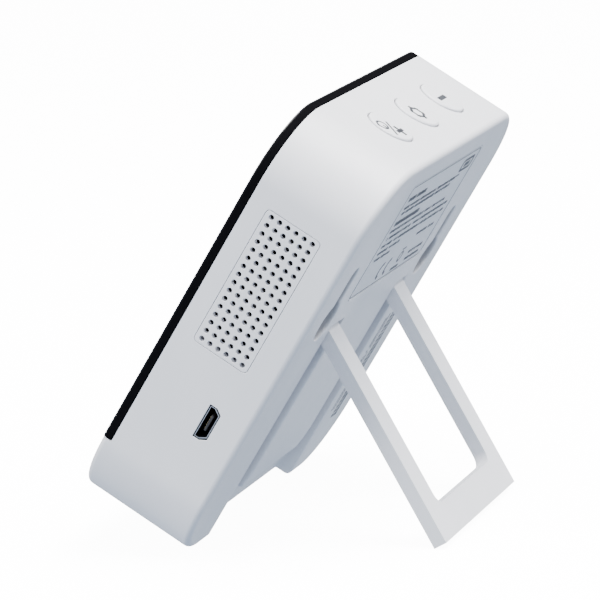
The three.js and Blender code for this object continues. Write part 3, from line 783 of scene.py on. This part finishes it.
def printed_rows_tree():
    """Turns each straight edge of a flat mesh into a row of printed strokes, uneven and gapped like words."""
    tree = Tree("printed_rows", Pitch="Float", Height="Float", Thick="Float", Shortest="Float",
                Lowest="Float", Filled="Float", Seed="Int", Material="Material")
    curves = tree.node("GeometryNodeMeshToCurve", {}, {"Mesh": tree.input("Geometry")})
    spots = tree.node("GeometryNodeCurveToPoints", {"mode": "LENGTH"},
                      {"Curve": curves, "Length": tree.input("Pitch")})
    tangent = spots.node.outputs["Tangent"]
    turn = tree.node("FunctionNodeAlignRotationToVector", {"axis": "X", "pivot_axis": "Z"},
                     {"Vector": tangent})
    size = tree.node("ShaderNodeCombineXYZ", {}, {"X": tree.input("Pitch"), "Y": tree.input("Height"),
                                                  "Z": tree.input("Thick")})
    dash = tree.node("GeometryNodeMeshCube", {}, {"Size": size})
    later = tree.node("ShaderNodeMath", {"operation": "ADD"},
                      {"Value": tree.input("Seed"), "Value_001": 50.0})
    share = tree.node("FunctionNodeRandomValue", {"data_type": "FLOAT"},
                      {"Min_001": tree.input("Shortest"), "Max_001": 0.9, "Seed": tree.input("Seed")},
                      output=1)
    rise = tree.node("FunctionNodeRandomValue", {"data_type": "FLOAT"},
                     {"Min_001": tree.input("Lowest"), "Max_001": 1.0, "Seed": later}, output=1)
    kept = tree.node("FunctionNodeRandomValue", {"data_type": "BOOLEAN"},
                     {"Probability": tree.input("Filled"), "Seed": tree.input("Seed")}, output=3)
    scale = tree.node("ShaderNodeCombineXYZ", {}, {"X": share, "Y": rise, "Z": 1.0})
    rows = tree.node("GeometryNodeInstanceOnPoints", {}, {
        "Points": spots, "Selection": kept, "Instance": dash, "Rotation": turn, "Scale": scale})
    return tree.finish(rows)


# ---------------------------------------------------------------- speaker grille
def speaker_grille():
    """The perforated insert in the side wall, drilled while it lies flat and then stood up."""
    plate = rounded(GRILLE_WIDTH - GRILLE_GAP, GRILLE_HEIGHT - GRILLE_GAP, 0.9, steps=8)
    drilled = perforation_tree().run(
        prism(plate, [(-1.3, 0.0), *reversed(outer_edge(0, -1, 0.12, 4))], "z"),
        Pitch=GRILLE_PITCH, Columns=GRILLE_COLUMNS, Rows=GRILLE_ROWS, Radius=GRILLE_HOLE, Lip=GRILLE_LIP,
        Material=MATERIALS["white_plastic"])
    open_width, open_height = GRILLE_WIDTH - GRILLE_FRAME, GRILLE_HEIGHT - GRILLE_FRAME
    rim = cut(prism(rounded(GRILLE_WIDTH + 1.2, GRILLE_HEIGHT + 1.6, 1.6, steps=4),
                    straight(-3.2, -2.5), "z"),
              prism(rounded(open_width, open_height, 0.6, steps=4), straight(-4, -2), "z"))
    wall = cut(prism(plate, straight(-2.7, -1.2), "z"),
               prism(rounded(open_width, open_height, 0.5, steps=8), straight(-3, -1), "z"))
    whole = join(drilled, wall, rim)
    whole.transform(Matrix(((0, 0, 1, WIDTH / 2), (1, 0, 0, GRILLE_Y), (0, 1, 0, GRILLE_Z), (0, 0, 0, 1))))
    finished("grille_insert", whole, "case", "white_plastic", ["speaker_grille"])


# ---------------------------------------------------------------- USB socket
def usb_outline(grow=0.0):
    """The receptacle's section: square towards the screen, with both corners towards the back cut off."""
    half = USB_LENGTH / 2 + grow
    front, back = USB_Y - USB_HEIGHT / 2 - grow, USB_Y + USB_HEIGHT / 2 + grow
    slope_y, slope_z = USB_CHAMFER
    return [(front, USB_Z - half), (back - slope_y, USB_Z - half), (back, USB_Z - half + slope_z),
            (back, USB_Z + half - slope_z), (back - slope_y, USB_Z + half), (front, USB_Z + half)]


def usb_tube(outer, inner, low, high):
    """A length of tube, whose walls stand outside the receptacle's section by outer and by inner."""
    return cut(prism(lambda grow: usb_outline(outer), straight(low, high), "x"),
               prism(lambda grow: usb_outline(inner), straight(low - 1, USB_MOUTH + 1), "x"))


def usb_socket():
    """Steel receptacle with the tongue and its five contacts; near-black sheets paint the shade in the gap round
    it and inside it.
    """
    inner_end, shade_sheet_out = USB_MOUTH - USB_DEPTH, 0.03 - USB_SHEET
    # painted shade: a near-black sheet lining the receptacle's inside
    finished("usb_shade_lining", usb_tube(shade_sheet_out, -USB_SHADE_SHEET - USB_SHEET, inner_end, USB_MOUTH - 0.05),
             "case", "black_plastic", material=black_backing_and_shade())
    finished("usb_receptacle", usb_tube(0.0, -USB_SHEET, inner_end, USB_MOUTH), "case", "steel",
             ["usb_shell"])
    # painted shade: a near-black sheet filling the gap between the receptacle and the case
    finished("usb_gap_shade", usb_tube(USB_CLEARANCE - 0.01, 0.01, USB_MOUTH - 2, USB_MOUTH + 0.06),
             "case", "black_plastic", material=black_backing_and_shade())
    tongue = prism(rounded(TONGUE_THICK, TONGUE_LENGTH, 0.15, USB_Y, USB_Z, 3),
                   [(TONGUE_ROOT, 0.0), *reversed(outer_edge(TONGUE_TIP, -1, 0.12, 3))], "x")
    seat = block(USB_MOUTH - 5.2, TONGUE_ROOT + 0.1, USB_Y - 0.75, USB_Y + 0.75, USB_Z - 2.6, USB_Z + 2.6)
    finished("usb_tongue_moulding", join(tongue, seat), "case", "black_plastic", ["usb_tongue"])
    rows = [USB_Z + CONTACT_PITCH * i for i in range(-2, 3)]
    contacts = [block(TONGUE_ROOT + 0.2, TONGUE_TIP - 0.3, USB_Y - 0.36, USB_Y - 0.29,
                      z - CONTACT_HALF, z + CONTACT_HALF) for z in rows]
    finished("usb_contacts", merged(*contacts), "case", "steel", material=contact_brass())


# ---------------------------------------------------------------- buttons
def button_cap(name, x):
    """A round cap with a soft rim, its flange under the wall and its stem down to the switch."""
    inside = HEIGHT - WALL
    cap = prism(round_hole(BUTTON_RADIUS, x, BUTTON_Y, 96),
                [(inside - 0.5, 0.0), *reversed(outer_edge(BUTTON_CROWN, -1, 0.42))], "z")
    flange = prism(round_hole(FLANGE_RADIUS, x, BUTTON_Y), straight(inside - 1.3, inside - 0.3), "z")
    stem = prism(round_hole(STEM_RADIUS, x, BUTTON_Y, 24), straight(STEM_FOOT, inside - 1.1), "z")
    finished(f"{name}_cap", join(join(cap, flange), stem), name, "white_plastic", [f"{name}_button"])


def flat_print(outline):
    """A film of ink on the caps' crowns."""
    return prism(outline, straight(BUTTON_CROWN - 0.06, BUTTON_CROWN + 0.015), "z")


def stroke(start, end, width):
    """A straight printed line with square ends."""
    (u0, v0), (u1, v1) = start, end
    length = math.hypot(u1 - u0, v1 - v0)
    across = ((v0 - v1) / length * width / 2, (u1 - u0) / length * width / 2)
    corners = ((u0, v0, -1), (u1, v1, -1), (u1, v1, 1), (u0, v0, 1))
    return flat_print(polygon(*((u + s * across[0], v + s * across[1]) for u, v, s in corners)))


def ring_print(u, v, radius, width, steps=40):
    outer = flat_print(round_hole(radius + width / 2, u, v, steps, 90))
    inner = prism(round_hole(radius - width / 2, u, v, steps, 90), straight(HEIGHT - 1, HEIGHT + 2), "z")
    return cut(outer, inner)


def plus_print(x, y, size, width):
    half = size / 2
    return [stroke((x - half, y), (x + half, y), width), stroke((x, y - half), (x, y + half), width)]


def icons():
    """Power and plus, a six-toothed wheel, and minus: each body's marks printed on its cap."""
    x, y = BUTTONS["power_plus"] + 3.1, BUTTON_Y - 1.15
    power = [ring_print(x, y, 1.35, 0.5), stroke((x, y + 1.5), (x, y + 0.1), 0.5),
             stroke((x + 0.1, y + 3.8), (x - 3.1, y - 0.3), 0.55),
             *plus_print(x - 3.25, y + 3.2, 3.3, 0.9)]
    x, y = BUTTONS["mode"] + 1.0, BUTTON_Y + 0.3
    mode = [ring_print(x, y, 1.75, 0.85, 6)]
    for tooth in range(6):
        angle = math.radians(60 * tooth + 90)
        reach = 2.4 if tooth in (0, 3) else 2.15
        c, s = math.cos(angle), math.sin(angle)
        mode.append(stroke((x + 1.7 * c, y + 1.7 * s), (x + reach * c, y + reach * s), 0.9))
    x, y = BUTTONS["minus"] + 0.9, BUTTON_Y + 0.1
    minus = [stroke((x - 2.2, y), (x + 2.2, y), 1.2)]
    for body, marks in (("power_plus", power), ("mode", mode), ("minus", minus)):
        finished(f"{body}_icon", merged(*marks), body, "black_plastic", material=BUTTON_INK)


# ---------------------------------------------------------------- kickstand
def kickstand():
    """One flat U with rounded eyes: drawn hanging from its pivot, then opened about the pin."""
    open_half, foot = STAND_HALF - STAND_ARM, -STAND_LENGTH
    inner = foot + STAND_BAR + STAND_CORNER
    edge = open_half - STAND_CORNER
    outline = polygon((-STAND_HALF, 0), (-STAND_HALF, foot), (STAND_HALF, foot), (STAND_HALF, 0),
                      (open_half, 0), *arc(edge, inner, STAND_CORNER, 0, -90, 8),
                      *arc(-edge, inner, STAND_CORNER, -90, -180, 8), (-open_half, 0))
    frame_plate = prism(outline, straight(-STAND_THICK / 2, STAND_THICK / 2), "y")
    eyes = [prism(round_hole(STAND_THICK / 2, 0, 0, 32),
                  straight(*sorted((side * open_half, side * STAND_HALF))), "x") for side in SIDES]
    softened = bevelled(join(frame_plate, *eyes), 0.3)
    bores = [prism(round_hole(PIN_HOLE, 0, 0, 24),
                   straight(*sorted((side * PIN_INNER, side * (STAND_HALF + 1)))), "x") for side in SIDES]
    finished("stand_frame", cut(softened, *bores), "stand", "white_plastic", ["kickstand"], STAND)


def bevelled(mesh, width):
    holder = bpy.data.objects.new("draft_edge", mesh)
    bpy.context.scene.collection.objects.link(holder)
    edge = holder.modifiers.new("edge", "BEVEL")
    edge.limit_method, edge.angle_limit = "ANGLE", math.radians(50)
    edge.width, edge.segments = width, 4
    result = settled(holder)
    bpy.data.objects.remove(holder)
    return result


# ---------------------------------------------------------------- label and prints
BACK_PLANE = Matrix(((-1, 0, 0, 0), (0, 0, 1, DEPTH), (0, 1, 0, 0), (0, 0, 0, 1)))
PRINTED_ROWS = printed_rows_tree()


def rows_mesh(rows):
    """Edges in the flat print's own (u, v), u running left to right as the back is read."""
    points, edges = [], []
    for (u0, v0), (u1, v1) in rows:
        edges.append((len(points), len(points) + 1))
        points += [(u0, v0, 0), (u1, v1, 0)]
    mesh = bpy.data.meshes.new("draft")
    mesh.from_pydata(points, edges, [])
    return mesh


def dashes(rows, pitch, height, shortest, lowest, filled, seed):
    """Rows of strokes: the shortest and lowest are shares of a full stroke, filled is the share kept."""
    return PRINTED_ROWS.run(rows_mesh(rows), Pitch=pitch, Height=height, Thick=0.05, Shortest=shortest,
                            Lowest=lowest, Filled=filled, Seed=seed, Material=LABEL_INK)


def level(v, start, end):
    """A row across the back at height v."""
    return (start, v), (end, v)


def label():
    """The rating label: film in its recess, then rows of dashes and plain marks within a border line."""
    film = prism(rounded(LABEL_WIDTH - 0.6, LABEL_HEIGHT - 0.6, 1.2, 0, LABEL_Z, 6),
                 straight(DEPTH - LABEL_THICK - 0.28, DEPTH - 0.05), "y")
    finished("label_sticker", film, "case", "label_film", ["rating_label"])
    left = -LABEL_WIDTH / 2 + 3.4
    bold = [level(85.8, left, left + 12), level(79.7, left, left + 16.7)]
    fine = [level(83.6, left, 14.4), level(82.2, left, 12.4), level(77.7, left, 16.3),
            level(75.8, left, 21.5), level(73.9, left, 22), level(72.1, left, -7),
            level(70.3, left, -11.1), level(70.3, 8.5, 20.5), level(64.9, 11.3, 21), level(63, 11.3, 21)]
    marks = [bow_mark(-8, 64.6, 2.3), bow_mark(-3, 64.6, 2.3), bar_mark(1.8, 7.2, 62.0, 62.8),
             ring_mark(4.5, 65.3, 1.5), bar_mark(3.2, 5.8, 67.2, 67.6), frame_mark(18.9, 86.3, 8.6, 3.4),
             bar_mark(16.9, 20.9, 85.7, 86.9), bar_mark(13.6, 17.5, 83.5, 83.9), dot_mark(-24.9, 60.7)]
    border = cut(mark_block(rounded(LABEL_WIDTH - 1.0, LABEL_HEIGHT - 1.0, 1.1, 0, LABEL_Z, 6)),
                 prism(rounded(LABEL_WIDTH - 1.7, LABEL_HEIGHT - 1.4, 0.9, 0, LABEL_Z, 6),
                       straight(-1, 1), "z"))
    whole = merged(dashes(bold, 0.72, 1.3, 0.4, 0.7, 0.93, 4),
                   dashes(fine, 0.56, 0.86, 0.3, 0.55, 0.86, 9), border, *marks)
    whole.transform(BACK_PLANE)
    finished("label_print", whole, "case", "label_film", material=LABEL_INK)


def mark_block(outline):
    return prism(outline, straight(-0.09, -0.02), "z")


def dot_mark(u, v):
    return mark_block(round_hole(0.35, u, v, 16))


def bow_mark(u, v, radius, width=0.85):
    """The left half of a ring."""
    return mark_block(polygon(*arc(u, v, radius, 96, 264, 24), *arc(u, v, radius - width, 264, 96, 24)))


def ring_mark(u, v, radius, width=0.55):
    hole = prism(round_hole(radius - width, u, v, 28), straight(-1, 1), "z")
    return cut(mark_block(round_hole(radius, u, v, 28)), hole)


def bar_mark(u0, u1, v0, v1):
    return mark_block(polygon((u0, v0), (u1, v0), (u1, v1), (u0, v1)))


def frame_mark(u, v, width, height):
    hole = prism(rounded(width - 1.8, height - 1.5, 0.5, u, v, 4), straight(-1, 1), "z")
    return cut(mark_block(rounded(width, height, 1.1, u, v, 4)), hole)


def strip_print():
    """Two columns of small marks down the far side of the back, read from the side."""
    thin = [((u, 42.6), (u, 16.8)) for u in (32.3, 34.0)]
    thick = [((u, 42.6), (u, 14.0)) for u in (36.9, 39.2)]
    whole = merged(dashes(thin, 0.8, 0.95, 0.5, 0.75, 0.95, 3), dashes(thick, 1.3, 1.9, 0.65, 0.8, 1.0, 6))
    whole.transform(BACK_PLANE)
    finished("strip_print", whole, "case", "label_film", material=LABEL_INK)


# ---------------------------------------------------------------- pieces that keep their CAD shape
def dress_nodes():
    """Gives every node of the frame the finish that its record names."""
    slots = {part["node"]: part["material_slot"] for part in frame["record"]["subparts"]}
    for name, node in frame["nodes"].items():
        node.data.materials.clear()
        node.data.materials.append(MATERIALS[slots[name]])


# ---------------------------------------------------------------- floor and light
FLOOR_GLOW = 12.0
AIR_STRENGTH = 1.85
AIR_LOW, AIR_HIGH = (0.28, 0.36, 0.48, 1), (0.72, 0.74, 0.78, 1)
AIR_AXIS = (-0.35, 0.0, 0.94)    # the direction in which the air grows lighter
AIR_FADE = (-0.6, 0.5)
FLOOR_HALF = 4.0


def floor():
    """A white floor that glows in the picture but lights nothing on the object."""
    recipe = Recipe("studio_floor", Base_Color=(0.9, 0.9, 0.905, 1), Specular_IOR_Level=0.2,
                    Emission_Color=(1, 1, 1, 1), Emission_Strength=FLOOR_GLOW)
    dust = recipe.noise(40, 3.0)
    recipe.feed(Roughness=0.8 + 0.1 * dust)
    corners = [(u * FLOOR_HALF, v * FLOOR_HALF, 0) for u, v in ((-1, -1), (1, -1), (1, 1), (-1, 1))]
    mesh = mesh_from(corners, [(0, 1, 2, 3)])
    mesh.materials.append(recipe.material)
    sheet = bpy.data.objects.new("studio_floor", mesh)
    sheet.visible_diffuse = sheet.visible_glossy = False
    bpy.context.scene.collection.objects.link(sheet)


def softbox(name, place, target, size, power, colour):
    data = bpy.data.lights.new(name, "AREA")
    data.shape, data.size, data.energy, data.color = "DISK", size, power, colour
    lamp = bpy.data.objects.new(name, data)
    lamp.location = place
    lamp.rotation_euler = (Vector(target) - Vector(place)).to_track_quat("-Z", "Y").to_euler()
    bpy.context.scene.collection.objects.link(lamp)


def studio_air():
    """Even light from all round: white from above, cooler and weaker from below."""
    world = bpy.data.worlds.new("studio")
    world.use_nodes = True
    tree = world.node_tree
    sky = tree.nodes["Background"]
    sky.inputs["Strength"].default_value = AIR_STRENGTH
    towards = tree.nodes.new("ShaderNodeTexCoord")
    height = tree.nodes.new("ShaderNodeVectorMath")
    height.operation = "DOT_PRODUCT"
    height.inputs[1].default_value = Vector(AIR_AXIS).normalized()
    fade = tree.nodes.new("ShaderNodeMapRange")
    fade.inputs["From Min"].default_value, fade.inputs["From Max"].default_value = AIR_FADE
    blend = tree.nodes.new("ShaderNodeMix")
    blend.data_type = "RGBA"
    colours = {s.identifier: s for s in blend.inputs}
    colours["A_Color"].default_value, colours["B_Color"].default_value = AIR_LOW, AIR_HIGH
    tree.links.new(towards.outputs["Generated"], height.inputs[0])
    tree.links.new(height.outputs["Value"], fade.inputs["Value"])
    tree.links.new(fade.outputs["Result"], colours["Factor_Float"])
    tree.links.new(next(s for s in blend.outputs if s.identifier == "Result_Color"), sky.inputs["Color"])
    bpy.context.scene.world = world


def studio_light():
    softbox("overhead", (0.0, 0.35, 1.1), (0, 0, 0.05), 0.9, 43, (1.0, 0.99, 0.975))
    softbox("camera_left", (0.9, -0.7, 0.55), (0, 0, 0.05), 0.7, 16, (1.0, 0.99, 0.98))


rear_housing()
front_cover()
speaker_grille()
usb_socket()
for cap_name, cap_x in BUTTONS.items():
    button_cap(cap_name, cap_x)
icons()
kickstand()
label()
strip_print()
dress_nodes()
floor()
studio_air()
studio_light()
